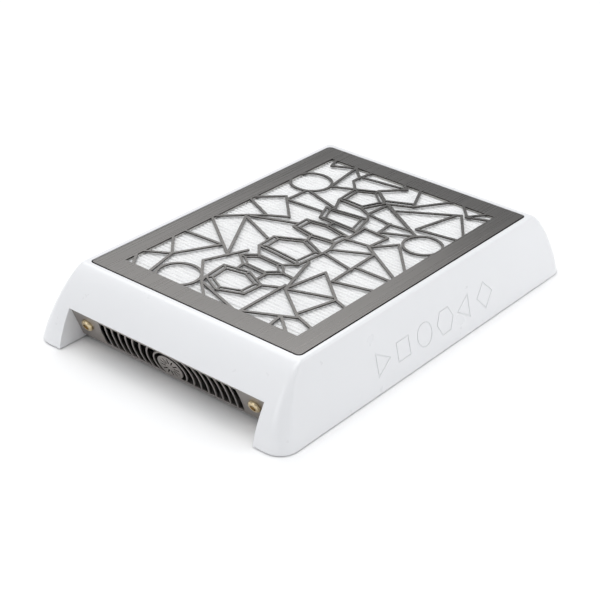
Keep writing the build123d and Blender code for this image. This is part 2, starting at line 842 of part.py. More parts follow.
# ---------------------------------------------------------------- vent panels
flange_end_y = 136.0
bend_radius = 1.8
disc_slits = 12
disc_slit_width = 1.1
disc_slit_inner = 3.4
disc_slit_outer = 8.6
button_radius = 5.0
button_height = 2.5
button_rounding = 1.9
front_rings = 8
rear_rings = 5               # fewer, to leave room for the switch and the inlet
panel_hole_inset = 1.2       # the switch's bezel covers this much of the panel
socket_radius = 2.6
socket_depth = 1.5
switch_x = 57.0              # rear panel, seen from behind: the switch is right of the slots
switch_width = 21.0
switch_height = 15.0
inlet_x = -57.0              # and the power inlet is left of them
fitting_v = 11.0             # the height of both, up the slope
inlet_radius = 4.0


def vent_slots(ring_count):
    """The slotted band: a round disc between two arcs, then concentric slots out to each side."""
    edges = [(vent_disc_radius, vent_ring_inner)]
    for index in range(ring_count):
        inner = vent_ring_outer + vent_pitch * index
        edges.append((inner, inner + vent_slot))
    reach = edges[-1][1]
    with BuildSketch(mode=Mode.PRIVATE) as slots:
        for inner, outer in edges:
            with BuildSketch():
                Circle(outer)
                Circle(inner, mode=Mode.SUBTRACT)
        with Locations((0, (vent_zone_low + vent_zone_high) / 2 - vent_middle)):
            Rectangle(2 * reach, vent_zone_high - vent_zone_low, mode=Mode.INTERSECT)
        with PolarLocations((disc_slit_inner + disc_slit_outer) / 2, disc_slits):
            SlotOverall(disc_slit_outer - disc_slit_inner, disc_slit_width)
    return slots.sketch_local


def vent_panel(side, ring_count):
    """One bent sheet: a foot flange that lies on the base plate, and a face that leans outwards."""
    rise = vent_top - vent_foot
    spread = sin(radians(vent_lean)) / cos(radians(vent_lean))
    drop = vent_foot - base_top
    thick = sheet / cos(radians(vent_lean))
    with BuildPart() as panel:
        with BuildSketch(Plane.YZ.offset(-vent_half_width)):
            with BuildLine():
                Polyline(
                    (side * flange_end_y, case_bottom + base_top),
                    (side * (vent_foot_y - drop * spread), case_bottom + base_top),
                    (side * (vent_foot_y + rise * spread), case_bottom + vent_top),
                    (side * (vent_foot_y + rise * spread - thick), case_bottom + vent_top),
                    (side * (vent_foot_y - thick + (sheet - drop) * spread), case_bottom + base_top + sheet),
                    (side * flange_end_y, case_bottom + base_top + sheet),
                    close=True,
                )
            make_face()
        extrude(amount=2 * vent_half_width)
        bends = panel.edges().filter_by(Axis.X).group_by(Axis.Z)
        outer_bend = bends[0].sort_by(Axis.Y)[-1 if side > 0 else 0]
        inner_bend = bends[1].sort_by(Axis.Y)[-1 if side > 0 else 0]
        fillet(outer_bend, bend_radius)
        fillet(inner_bend, bend_radius - sheet)
        with BuildSketch(vent_plane(side)):
            with Locations((0, vent_middle)):
                add(vent_slots(ring_count))
            with Locations((-vent_screw_x, vent_screw_v), (vent_screw_x, vent_screw_v)):
                Circle(screw_radius)
            if side > 0:
                with Locations((switch_x, fitting_v)):
                    Rectangle(switch_width - 2 * panel_hole_inset, switch_height - 2 * panel_hole_inset)
                with Locations((inlet_x, fitting_v)):
                    Circle(inlet_radius)
        extrude(amount=-4 * sheet, mode=Mode.SUBTRACT)
    return panel


def vent_screws(side):
    """Two round-headed socket screws in one panel."""
    with BuildPart() as screws:
        with BuildSketch(vent_plane(side)):
            with Locations((-vent_screw_x, vent_screw_v), (vent_screw_x, vent_screw_v)):
                Circle(button_radius)
        extrude(amount=button_height)
        outward = Axis((0, 0, 0), vent_plane(side).z_dir)
        fillet(screws.faces().sort_by(outward)[-2:].edges(), button_rounding)
        with BuildSketch(vent_plane(side)):
            with Locations((-vent_screw_x, vent_screw_v), (vent_screw_x, vent_screw_v)):
                Circle(screw_radius)
        extrude(amount=-vent_screw_hole)
        with BuildSketch(vent_plane(side, -button_height)):
            with Locations((-vent_screw_x, vent_screw_v), (vent_screw_x, vent_screw_v)):
                RegularPolygon(socket_radius, 6)
        extrude(amount=-socket_depth, mode=Mode.SUBTRACT)
    return screws


front_vent_panel = vent_panel(-1, front_rings)
front_vent_panel.part.label = "front_vent_panel"
export_step(front_vent_panel.part, "parts/front_vent_panel.step")

rear_vent_panel = vent_panel(1, rear_rings)
rear_vent_panel.part.label = "rear_vent_panel"
export_step(rear_vent_panel.part, "parts/rear_vent_panel.step")

front_vent_screws = vent_screws(-1)
front_vent_screws.part.label = "front_vent_screws"
export_step(front_vent_screws.part, "parts/front_vent_screws.step")

rear_vent_screws = vent_screws(1)
rear_vent_screws.part.label = "rear_vent_screws"
export_step(rear_vent_screws.part, "parts/rear_vent_screws.step")


# ---------------------------------------------------------------- rocker switch
bezel = 2.0
bezel_corner = 1.2
bezel_chamfer = 0.6
body_depth = 13.5
well_depth = 8.0
well_side_gap = 0.7          # round the rocker, in the body's well
well_end_gap = 0.3
terminal_x = 4.0
terminal_width = 0.8
terminal_height = 4.0
terminal_length = 2.5
rocker_half = 7.6
rocker_depth = 5.0
rocker_crest = 4.2           # above the pivot, at the ends
rocker_dip = 3.2             # and in the middle
rocker_keel = 2.5            # below the pivot
rocker_taper = 1.0
rocker_pivot = -1.0          # below the panel's outer face
rocker_tilt = 7.0
pin_radius = 0.8
pin_gap = 0.05
pin_length = 0.8             # beyond each side of the rocker
switch_at = vent_plane(1) * Location((switch_x, fitting_v, 0))
switch_plane = Plane(switch_at)
rocker_plane = Plane(switch_at * Location((0, 0, rocker_pivot)) * Location((0, 0, 0), (0, -rocker_tilt, 0)))

with BuildPart() as switch_body:
    with BuildSketch(switch_plane):
        RectangleRounded(switch_width, switch_height, bezel_corner)
    extrude(amount=bezel)
    outward = Axis(switch_plane.origin, switch_plane.z_dir)
    chamfer(switch_body.faces().sort_by(outward)[-1].edges(), bezel_chamfer)
    with BuildSketch(switch_plane):
        Rectangle(switch_width - 2 * panel_hole_inset, switch_height - 2 * panel_hole_inset)
    extrude(amount=-body_depth)
    with BuildSketch(switch_plane.offset(bezel)):
        Rectangle(2 * (rocker_half + well_side_gap), 2 * (rocker_depth + well_end_gap))
    extrude(amount=-bezel - well_depth, mode=Mode.SUBTRACT)
    with Locations(switch_plane * Location((0, 0, rocker_pivot)) * Location((0, 0, 0), (90, 0, 0))):
        Cylinder(pin_radius + pin_gap, 2 * (rocker_depth + pin_length + pin_gap), mode=Mode.SUBTRACT)
    # terminals
    with BuildSketch(switch_plane.offset(-body_depth)):
        with Locations((-terminal_x, 0), (terminal_x, 0)):
            Rectangle(terminal_width, terminal_height)
    extrude(amount=-terminal_length)
switch_body.part.label = "switch_body"
export_step(switch_body.part, "parts/switch_body.step")

with BuildPart() as switch_rocker:
    with BuildSketch(Plane(rocker_plane.origin, x_dir=rocker_plane.x_dir, z_dir=-rocker_plane.y_dir)):
        with BuildLine():
            Polyline(
                (-rocker_half, rocker_crest),
                (0, rocker_dip),
                (rocker_half, rocker_crest),
                (rocker_half - rocker_taper, -rocker_keel),
                (-rocker_half + rocker_taper, -rocker_keel),
                close=True,
            )
        make_face()
    extrude(amount=rocker_depth, both=True)
    with Locations(Location(rocker_plane) * Location((0, 0, 0), (90, 0, 0))):
        Cylinder(pin_radius, 2 * (rocker_depth + pin_length))
switch_rocker.part.label = "switch_rocker"
export_step(switch_rocker.part, "parts/switch_rocker.step")


# ---------------------------------------------------------------- power inlet
inlet_flange_radius = 6.0
inlet_flange = 1.6
inlet_chamfer = 0.5
inlet_bore = 2.9
inlet_bore_depth = 11.0
inlet_length = 14.0
contact_radius = 1.0
contact_base = 1.0
contact_recess = 0.8         # the pin ends this far below the panel's outer face
nut_radius = 5.8
nut_thickness = 2.0
inlet_plane = Plane(vent_plane(1) * Location((inlet_x, fitting_v, 0)))

with BuildPart() as inlet_socket:
    with BuildSketch(inlet_plane):
        Circle(inlet_flange_radius)
    extrude(amount=inlet_flange)
    outward = Axis(inlet_plane.origin, inlet_plane.z_dir)
    chamfer(inlet_socket.faces().sort_by(outward)[-1].edges(), inlet_chamfer)
    with BuildSketch(inlet_plane):
        Circle(inlet_radius)
    extrude(amount=-inlet_length)
    with BuildSketch(inlet_plane.offset(inlet_flange)):
        Circle(inlet_bore)
    extrude(amount=-inlet_flange - inlet_bore_depth, mode=Mode.SUBTRACT)
inlet_socket.part.label = "inlet_socket"
export_step(inlet_socket.part, "parts/inlet_socket.step")

with BuildPart() as inlet_contact:
    with BuildSketch(inlet_plane.offset(-inlet_bore_depth)):
        Circle(inlet_bore)
    extrude(amount=contact_base)
    with BuildSketch(inlet_plane.offset(-inlet_bore_depth)):
        Circle(contact_radius)
    extrude(amount=inlet_bore_depth - contact_recess)
inlet_contact.part.label = "inlet_contact"
export_step(inlet_contact.part, "parts/inlet_contact.step")

with BuildPart() as inlet_nut:
    with BuildSketch(inlet_plane.offset(-sheet)):
        RegularPolygon(nut_radius, 6)
        Circle(inlet_radius, mode=Mode.SUBTRACT)
    extrude(amount=-nut_thickness)
inlet_nut.part.label = "inlet_nut"
export_step(inlet_nut.part, "parts/inlet_nut.step")


# ---------------------------------------------------------------- control board and inner leads
board_x = 50.0
board_y = 106.0
board_width = 50.0
board_length = 34.0
board_thickness = 1.6
board_corner = 1.5
board_hole_radius = 1.2
board_screw_head_radius = 2.2
board_screw_head = 1.2
board_screw_reach = 3.0      # into each standoff
standoff_height = 4.0
standoff_radius = 2.5
board_floor = base_top + standoff_height
board_top = board_floor + board_thickness
hole_x = 21.5
hole_y = 13.5
board_holes = [(board_x + x, board_y + y) for x in (-hole_x, hole_x) for y in (-hole_y, hole_y)]
connector_width = 8.0
connector_length = 6.0
connector_top = board_top + 6.0
inlet_connector = (57.0, 119.0)
switch_connector = (36.0, 119.0)
motor_connector = (45.0, 94.0)
capacitor_at = (36.0, 104.0)
capacitor_radius = 5.0
capacitor_height = 11.0
coil_at = (63.0, 102.0)
coil_width = 9.0
coil_height = 4.5
chips_at = [(50.0, 107.0), (51.0, 115.0)]
chip_width = 6.0
chip_length = 5.0
chip_height = 1.5
lead_radius = 1.1

with BuildPart() as board_standoffs:
    with BuildSketch(level(base_top)):
        with Locations(*board_holes):
            RegularPolygon(standoff_radius, 6)
            Circle(board_hole_radius, mode=Mode.SUBTRACT)
    extrude(amount=standoff_height)
board_standoffs.part.label = "board_standoffs"
export_step(board_standoffs.part, "parts/board_standoffs.step")

with BuildPart() as control_board:
    with BuildSketch(level(board_floor)):
        with Locations((board_x, board_y)):
            RectangleRounded(board_width, board_length, board_corner)
        with Locations(*board_holes):
            Circle(board_hole_radius, mode=Mode.SUBTRACT)
    extrude(amount=board_thickness)
control_board.part.label = "control_board"
export_step(control_board.part, "parts/control_board.step")

with BuildPart() as board_screws:
    with BuildSketch(level(board_top)):
        with Locations(*board_holes):
            Circle(board_screw_head_radius)
    extrude(amount=board_screw_head)
    with BuildSketch(level(board_top)):
        with Locations(*board_holes):
            Circle(board_hole_radius)
    extrude(amount=-board_thickness - board_screw_reach)
board_screws.part.label = "board_screws"
export_step(board_screws.part, "parts/board_screws.step")

with BuildPart() as board_components:
    # connectors, a storage capacitor, a coil and two chips
    with BuildSketch(level(board_top)):
        with Locations(inlet_connector, switch_connector, motor_connector):
            Rectangle(connector_width, connector_length)
    extrude(amount=connector_top - board_top)
    with BuildSketch(level(board_top)):
        with Locations(capacitor_at):
            Circle(capacitor_radius)
    extrude(amount=capacitor_height)
    with BuildSketch(level(board_top)):
        with Locations(coil_at):
            RectangleRounded(coil_width, coil_width, 1)
    extrude(amount=coil_height)
    with BuildSketch(level(board_top)):
        with Locations(*chips_at):
            Rectangle(chip_width, chip_length)
    extrude(amount=chip_height)
board_components.part.label = "board_components"
export_step(board_components.part, "parts/board_components.step")


def lead(points, radius):
    """An insulated wire along straight runs joined by arcs. Heights are above the housing's bottom edge."""
    raised = [(x, y, z + case_bottom) for x, y, z in points]
    with BuildPart() as wire:
        with BuildLine() as path:
            FilletPolyline(*raised, radius=radius)
        with BuildSketch(path.line ^ 0):
            Circle(lead_radius)
        sweep()
    return wire


def local(plane, distance):
    """A point on the plane's axis, as x, y and height above the housing's bottom edge."""
    point = plane.origin + plane.z_dir * distance
    return (point.X, point.Y, point.Z - case_bottom)


# The leads' turning points, as x, y and height above the housing's bottom edge.
lead_height = 25.0
lead_start = 5.0             # straight behind the inlet
inlet_lead = lead(
    [
        local(inlet_plane, -inlet_length),
        local(inlet_plane, -inlet_length - lead_start),
        (*inlet_connector, lead_height),
        (*inlet_connector, connector_top),
    ],
    3.0,
)
inlet_lead.part.label = "inlet_lead"
export_step(inlet_lead.part, "parts/inlet_lead.step")

switch_end = local(switch_plane, -body_depth - terminal_length)
switch_lead = lead(
    [
        switch_end,
        (switch_end[0], switch_end[1] - 4, lead_height),
        (switch_connector[0], switch_connector[1] + 15, lead_height),
        (*switch_connector, lead_height),
        (*switch_connector, connector_top),
    ],
    2.5,
)
switch_lead.part.label = "switch_lead"
export_step(switch_lead.part, "parts/switch_lead.step")

motor_lead_height = base_top + 1.2
motor_connector_height = 11.0
motor_lead = lead(
    [
        (45.0, 91.0, motor_connector_height),
        (45.0, 80.0, motor_connector_height),
        (43.0, 72.0, motor_lead_height),
        (15.2, 22.6, motor_lead_height),
    ],
    4.0,
)
motor_lead.part.label = "motor_lead"
export_step(motor_lead.part, "parts/motor_lead.step")
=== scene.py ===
import json
import math
import random

import bmesh
import bpy
from mathutils import Matrix, Vector


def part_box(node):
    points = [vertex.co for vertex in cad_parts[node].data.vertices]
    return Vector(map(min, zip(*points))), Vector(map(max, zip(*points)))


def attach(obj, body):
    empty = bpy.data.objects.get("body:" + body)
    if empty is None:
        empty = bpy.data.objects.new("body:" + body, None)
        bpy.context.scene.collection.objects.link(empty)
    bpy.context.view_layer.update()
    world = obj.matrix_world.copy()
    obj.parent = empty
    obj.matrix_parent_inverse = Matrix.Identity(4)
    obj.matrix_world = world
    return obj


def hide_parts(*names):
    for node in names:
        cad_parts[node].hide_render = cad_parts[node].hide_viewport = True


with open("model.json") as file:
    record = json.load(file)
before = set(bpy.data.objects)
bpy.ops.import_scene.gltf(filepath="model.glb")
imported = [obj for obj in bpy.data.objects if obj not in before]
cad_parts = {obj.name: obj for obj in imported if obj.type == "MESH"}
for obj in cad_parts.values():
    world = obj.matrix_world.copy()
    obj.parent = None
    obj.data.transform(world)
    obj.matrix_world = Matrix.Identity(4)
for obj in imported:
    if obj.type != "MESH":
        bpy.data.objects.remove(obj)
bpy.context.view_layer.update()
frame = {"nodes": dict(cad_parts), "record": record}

# Nail dust collector. Metres, in the CAD's frame: +Z up, -Y the front end, origin on the table.
nodes = frame["nodes"]
MM = 0.001

# ---------------------------------------------------------------- camera
CAMERA_AZIMUTH = 37.483      # degrees round from the front end, towards +X
CAMERA_ELEVATION = 29.424
CAMERA_ROLL = 2.548
CAMERA_DISTANCE = 1.11285
CAMERA_TARGET = Vector((-0.00784, -0.00621, 0.001))
CAMERA_LENS = 90.55
CLIP_NEAR = 0.05
CLIP_FAR = 50


def direction(azimuth, elevation):
    """A unit vector from the object. Azimuth 0 is the front end and 90 the right-hand side."""
    a, e = math.radians(azimuth), math.radians(elevation)
    return Vector((math.sin(a) * math.cos(e), -math.cos(a) * math.cos(e), math.sin(e)))


def facing(back):
    """The rotation whose local Z points along back and whose local X is level."""
    right = Vector((0, 0, 1)).cross(back).normalized()
    up = back.cross(right)
    return Matrix((right, up, back)).transposed().to_4x4()


camera = bpy.data.objects.new("camera", bpy.data.cameras.new("camera"))
bpy.context.scene.collection.objects.link(camera)
camera.data.lens = CAMERA_LENS
camera.data.clip_start = CLIP_NEAR
camera.data.clip_end = CLIP_FAR
view_back = direction(CAMERA_AZIMUTH, CAMERA_ELEVATION)
roll = Matrix.Rotation(math.radians(CAMERA_ROLL), 4, "Z")
camera_place = Matrix.Translation(CAMERA_TARGET + view_back * CAMERA_DISTANCE)
camera.matrix_world = camera_place @ facing(view_back) @ roll
bpy.context.scene.camera = camera


# ---------------------------------------------------------------- floor, light and world
FLOOR_RADIUS = 6.0


def floor():
    """A large flat pale disc on the table's plane."""
    mesh = bmesh.new()
    bmesh.ops.create_circle(mesh, cap_ends=True, segments=96, radius=FLOOR_RADIUS)
    data = bpy.data.meshes.new("floor")
    mesh.to_mesh(data)
    mesh.free()
    obj = bpy.data.objects.new("floor", data)
    bpy.context.scene.collection.objects.link(obj)
    look = bpy.data.materials.new("floor")
    look.use_nodes = True
    shader = look.node_tree.nodes["Principled BSDF"]
    shader.inputs["Base Color"].default_value = (0.97, 0.97, 0.97, 1)
    shader.inputs["Roughness"].default_value = 0.85
    shader.inputs["Specular IOR Level"].default_value = 0.2
    data.materials.append(look)


def softbox(name, azimuth, elevation, distance, width, height, power):
    """A rectangular area light that faces the object."""
    light = bpy.data.lights.new(name, "AREA")
    light.shape = "RECTANGLE"
    light.size = width
    light.size_y = height
    light.energy = power
    obj = bpy.data.objects.new(name, light)
    bpy.context.scene.collection.objects.link(obj)
    back = direction(azimuth, elevation)
    obj.matrix_world = Matrix.Translation(back * distance) @ facing(back)


SKY_COLOUR = (0.965, 0.98, 1.0, 1)
SKY = 0.55                   # strength
SKY_SHADE = 0.34             # the far wall of the studio, low behind the object, is darker
SHADE_TOWARDS = (212, 12)
SHADE_CORE = 12              # degrees from its middle to full shade and to none
SHADE_EDGE = 34


def studio():
    """An even pale surround with one darker patch low behind the object."""
    world = bpy.data.worlds.new("studio")
    world.use_nodes = True
    tree = world.node_tree
    background = tree.nodes["Background"]
    background.inputs["Color"].default_value = SKY_COLOUR
    place = tree.nodes.new("ShaderNodeTexCoord")
    towards = tree.nodes.new("ShaderNodeVectorMath")
    towards.operation = "DOT_PRODUCT"
    towards.inputs[1].default_value = direction(*SHADE_TOWARDS)
    tree.links.new(place.outputs["Generated"], towards.inputs[0])
    strength = tree.nodes.new("ShaderNodeMapRange")
    strength.interpolation_type = "SMOOTHSTEP"
    for key, value in (
        ("From Min", math.cos(math.radians(SHADE_EDGE))),
        ("From Max", math.cos(math.radians(SHADE_CORE))),
        ("To Min", SKY),
        ("To Max", SKY_SHADE),
    ):
        strength.inputs[key].default_value = value
    tree.links.new(towards.outputs["Value"], strength.inputs["Value"])
    tree.links.new(strength.outputs["Result"], background.inputs["Strength"])
    bpy.context.scene.world = world


# azimuth and elevation in degrees, distance, width and height in metres, power in watts
SOFTBOXES = {
    "overhead": (0, 84, 2.4, 1.8, 1.8, 23),
    "front_panel": (-8, 24, 2.3, 1.1, 1.1, 5),
    "rear_right_panel": (122, 22, 1.0, 0.5, 0.5, 1.5),
    "rear_left_panel": (234, 52, 2.2, 1.5, 1.4, 13),
}

floor()
studio()
for light_name, placing in SOFTBOXES.items():
    softbox(light_name, *placing)
bpy.context.scene.view_settings.view_transform = "Standard"


# ---------------------------------------------------------------- material kit
MIX_FIRST, MIX_SECOND, MIX_RESULT = 6, 7, 2      # the colour sockets of a mix node


class Look:
    """A node material under construction, on object coordinates in metres."""

    def __init__(self, name, roughness=0.5, metallic=0.0):
        self.material = bpy.data.materials.new(name)
        self.material.use_nodes = True
        self.tree = self.material.node_tree
        self.shader = self.tree.nodes["Principled BSDF"]
        self.shader.inputs["Roughness"].default_value = roughness
        self.shader.inputs["Metallic"].default_value = metallic
        self.place = self.node("ShaderNodeTexCoord").outputs["Object"]
        self.normal = None

    def node(self, kind, **settings):
        made = self.tree.nodes.new(kind)
        for key, value in settings.items():
            setattr(made, key, value)
        return made

    def join(self, source, target):
        self.tree.links.new(source, target)

    def set(self, **values):
        """Constants on the shader's own sockets. Underscores stand for spaces."""
        for key, value in values.items():
            self.shader.inputs[key.replace("_", " ")].default_value = value

    def stretched(self, x, y, z):
        """Coordinates multiplied along each axis."""
        made = self.node("ShaderNodeMapping")
        made.inputs["Scale"].default_value = (x, y, z)
        self.join(self.place, made.inputs["Vector"])
        return made.outputs["Vector"]

    def noise(self, scale, detail=4.0, rough=0.55, place=None):
        made = self.node("ShaderNodeTexNoise")
        made.inputs["Scale"].default_value = scale
        made.inputs["Detail"].default_value = detail
        made.inputs["Roughness"].default_value = rough
        self.join(place or self.place, made.inputs["Vector"])
        return made.outputs["Fac"]

    def cells(self, scale):
        made = self.node("ShaderNodeTexVoronoi", feature="F1")
        made.inputs["Scale"].default_value = scale
        self.join(self.place, made.inputs["Vector"])
        return made.outputs["Distance"]

    def stripes(self, axis, pitch, sharp=0.5):
        """0 to 1 stripes across an axis, one each pitch metres."""
        split = self.node("ShaderNodeSeparateXYZ")
        self.join(self.place, split.inputs["Vector"])
        wave = self.node("ShaderNodeMath", operation="MULTIPLY")
        self.join(split.outputs[axis], wave.inputs[0])
        wave.inputs[1].default_value = 2 * math.pi / pitch
        sine = self.node("ShaderNodeMath", operation="SINE")
        self.join(wave.outputs[0], sine.inputs[0])
        return self.spread(sine.outputs[0], -sharp, sharp, 0.0, 1.0)

    def spread(self, value, low, high, to_low, to_high):
        made = self.node("ShaderNodeMapRange", clamp=True)
        self.join(value, made.inputs["Value"])
        numbers = {"From Min": low, "From Max": high, "To Min": to_low, "To Max": to_high}
        for key, number in numbers.items():
            made.inputs[key].default_value = number
        return made.outputs["Result"]

    def math(self, operation, first, second):
        made = self.node("ShaderNodeMath", operation=operation)
        self.join(first, made.inputs[0])
        if isinstance(second, (int, float)):
            made.inputs[1].default_value = second
        else:
            self.join(second, made.inputs[1])
        return made.outputs[0]

    def mixed(self, factor, first, second):
        """A colour between two, each a colour value or a socket."""
        made = self.node("ShaderNodeMix", data_type="RGBA")
        self.join(factor, made.inputs["Factor"])
        for socket, value in ((made.inputs[MIX_FIRST], first), (made.inputs[MIX_SECOND], second)):
            if isinstance(value, (tuple, list)):
                socket.default_value = (*value[:3], 1)
            else:
                self.join(value, socket)
        return made.outputs[MIX_RESULT]

    def colour(self, socket):
        self.base = socket
        self.join(socket, self.shader.inputs["Base Color"])

    def below(self, value, limit):
        return self.math("LESS_THAN", value, limit)

    def within(self, half_sizes, heights):
        """1 inside a box round the middle whose long sides lean in with the shell's, 0 outside."""
        split = self.node("ShaderNodeSeparateXYZ")
        self.join(self.place, split.inputs["Vector"])
        height = split.outputs["Z"]
        across = self.math("ABSOLUTE", split.outputs["X"], 0.0)
        along = self.math("ABSOLUTE", split.outputs["Y"], 0.0)
        leaned = self.math("ADD", across, self.math("MULTIPLY", height, SIDE_SLOPE))
        found = self.math("MULTIPLY", self.below(leaned, half_sizes[0]), self.below(along, half_sizes[1]))
        found = self.math("MULTIPLY", found, self.below(height, heights[1]))
        return self.math("MULTIPLY", found, self.math("GREATER_THAN", height, heights[0]))

    def burnt_and_shaded_edges(self, shade):
        """Gives faces that stand upright another base colour, used for burnt cut edges and painted shade."""
        split = self.node("ShaderNodeSeparateXYZ")
        self.join(self.node("ShaderNodeTexCoord").outputs["Normal"], split.inputs["Vector"])
        upright = self.spread(self.math("ABSOLUTE", split.outputs["Z"], 0.0), 0.4, 0.6, 1.0, 0.0)
        self.colour(self.mixed(upright, self.base, shade))

    def roughness(self, factor, low, high):
        self.join(self.spread(factor, 0.3, 0.7, low, high), self.shader.inputs["Roughness"])

    def bump(self, height, distance, strength=1.0):
        """Adds relief of this depth in metres on top of any added before."""
        made = self.node("ShaderNodeBump")
        made.inputs["Strength"].default_value = strength
        made.inputs["Distance"].default_value = distance
        self.join(height, made.inputs["Height"])
        if self.normal is not None:
            self.join(self.normal, made.inputs["Normal"])
        self.normal = made.outputs["Normal"]
        self.join(self.normal, self.shader.inputs["Normal"])

    def eased(self, radius):
        """Lets light catch edges as if they were rounded by this radius. Called before any bump."""
        made = self.node("ShaderNodeBevel", samples=6)
        made.inputs["Radius"].default_value = radius
        self.normal = made.outputs["Normal"]
        self.join(self.normal, self.shader.inputs["Normal"])


def varied(look, low, high, scale, detail=3.0):
    """Base colour that drifts between two shades."""
    look.colour(look.mixed(look.spread(look.noise(scale, detail), 0.3, 0.7, 0.0, 1.0), low, high))


# ---------------------------------------------------------------- materials
SIDE_SLOPE = 0.28            # the shell's sides lean in by this much per unit of height
CAVITY_X = 110.3 * MM        # half width, at the table, of everything inside the outer faces
CAVITY_Y = 147.0 * MM
BELOW_TABLE = -1.0           # lower than any part
DECK_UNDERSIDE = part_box("fan_deck")[0].z
GRILLE_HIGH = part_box("top_grille")[1]
RECESS_GAP = 0.8 * MM        # from the grille's edge to the end of the strip of painted shade
RECESS_X = GRILLE_HIGH.x + RECESS_GAP + SIDE_SLOPE * GRILLE_HIGH.z
RECESS_Y = GRILLE_HIGH.y + RECESS_GAP
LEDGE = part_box("top_grille")[0].z
# heights of the strip of painted shade on the ledge under the grille's edge
SHADED_LEDGE_BAND = (LEDGE - 0.3 * MM, LEDGE + 0.2 * MM)
# near-black colour painted as shade inside the shell and on the ledge round the grille
PAINTED_SHADE_COLOUR = (0.012, 0.012, 0.013)
PAINTED_SHADE_ROUGHNESS = 0.85
SHELL_COAT = 0.35


def housing_white():
    look = Look("housing_white", roughness=0.3)
    look.eased(0.45 * MM)
    drift = look.spread(look.noise(6, 3), 0.3, 0.7, 0.0, 1.0)
    shell = look.mixed(drift, (0.80, 0.805, 0.82), (0.815, 0.82, 0.835))
    # painted shade: a matt near-black colour inside the shell below the deck and on a strip of the ledge
    # round the grille, standing in for the shade in the vent slots and in the gap round the grille
    inside = look.within((CAVITY_X, CAVITY_Y), (BELOW_TABLE, DECK_UNDERSIDE))
    ledge = look.within((RECESS_X, RECESS_Y), SHADED_LEDGE_BAND)
    dark = look.math("MAXIMUM", inside, ledge)
    look.colour(look.mixed(dark, shell, PAINTED_SHADE_COLOUR))
    gloss = look.spread(look.noise(40, 5), 0.3, 0.7, 0.27, 0.33)
    matt = look.spread(dark, 0.0, 1.0, 0.0, PAINTED_SHADE_ROUGHNESS)
    look.join(look.math("MAXIMUM", gloss, matt), look.shader.inputs["Roughness"])
    look.join(look.spread(dark, 0.0, 1.0, SHELL_COAT, 0.0), look.shader.inputs["Coat Weight"])
    look.set(Coat_Roughness=0.09, Specular_IOR_Level=0.5)
    look.bump(look.noise(240, 2), 0.01 * MM, 0.4)
    look.bump(look.noise(2200, 2), 0.006 * MM, 0.6)
    return look.material


def satin_metal(name, dark, light, rough, grain_axis="y", bump=0.012, edge=0.3):
    """Sheet metal with a fine linish along one axis."""
    look = Look(name, roughness=rough, metallic=1.0)
    look.eased(edge * MM)
    scale = {"x": (6, 1500, 1500), "y": (1500, 6, 1500), "z": (1500, 1500, 6)}[grain_axis]
    grain = look.noise(1.0, 5, 0.6, look.stretched(*scale))
    drift = look.noise(22, 4)
    blend = look.math("ADD", look.math("MULTIPLY", grain, 0.6), look.math("MULTIPLY", drift, 0.4))
    look.colour(look.mixed(look.spread(blend, 0.35, 0.65, 0.0, 1.0), dark, light))
    look.roughness(grain, rough - 0.05, rough + 0.07)
    look.set(Anisotropic=0.35)
    look.bump(grain, bump * MM, 0.5)
    return look


def grille_metal():
    """Linished sheet whose upright laser-cut edges are burnt dark and darkened further as painted shade."""
    dark, light = (0.222, 0.214, 0.206), (0.232, 0.224, 0.216)
    look = satin_metal("grille_metal", dark, light, 0.29, bump=0.005, edge=0.12)
    # upright faces near-black: partly the burnt colour of laser cuts, partly painted shade for the shadow
    # they sit in
    look.burnt_and_shaded_edges((0.06, 0.055, 0.052))
    look.bump(look.noise(900, 3), 0.006 * MM, 0.5)
    return look.material


def vent_metal():
    look = satin_metal("vent_metal", (0.35, 0.325, 0.308), (0.40, 0.372, 0.352), 0.4, "x", edge=0.15)
    look.bump(look.noise(1400, 3), 0.008 * MM, 0.5)
    return look.material


def powder_coat(name, dark, light, rough):
    """Painted sheet metal with the fine pebble of powder coat."""
    look = Look(name, roughness=rough)
    look.eased(0.3 * MM)
    varied(look, dark, light, 60)
    look.roughness(look.noise(700, 3), rough - 0.08, rough + 0.08)
    look.bump(look.cells(1500), 0.03 * MM, 0.5)
    look.bump(look.noise(500, 4), 0.02 * MM, 0.4)
    return look.material


def polished_metal(name, dark, light, rough, ring_pitch=0.12):
    """Turned or plated metal with faint machining rings and small scratches."""
    look = Look(name, roughness=rough, metallic=1.0)
    look.eased(0.15 * MM)
    varied(look, dark, light, 180)
    look.roughness(look.noise(600, 4), rough - 0.06, rough + 0.1)
    look.bump(look.stripes("Z", ring_pitch * MM), 0.003 * MM, 0.4)
    look.bump(look.noise(2400, 4), 0.004 * MM, 0.5)
    return look.material


def moulded(name, dark, light, rough, grain=0.02, coat=0.0):
    """Moulded plastic with a fine spark-eroded grain."""
    look = Look(name, roughness=rough)
    look.eased(0.25 * MM)
    varied(look, dark, light, 50)
    look.roughness(look.noise(400, 3), rough - 0.06, rough + 0.06)
    look.set(Coat_Weight=coat, Coat_Roughness=0.12)
    look.bump(look.noise(1800, 3), grain * MM, 0.5)
    return look.material


def rubber(name, dark, light):
    look = Look(name, roughness=0.75)
    look.eased(0.3 * MM)
    varied(look, dark, light, 90)
    look.roughness(look.noise(260, 4), 0.65, 0.85)
    look.set(Sheen_Weight=0.12, Sheen_Roughness=0.5)
    look.bump(look.noise(1300, 5), 0.03 * MM, 0.6)
    return look.material


def foam():
    look = Look("foam", roughness=0.95)
    varied(look, (0.018, 0.018, 0.019), (0.05, 0.05, 0.052), 900, 2)
    look.set(Sheen_Weight=0.25, Sheen_Roughness=0.6)
    look.bump(look.cells(1100), 0.25 * MM, 0.8)
    look.bump(look.noise(600, 4), 0.1 * MM, 0.5)
    return look.material


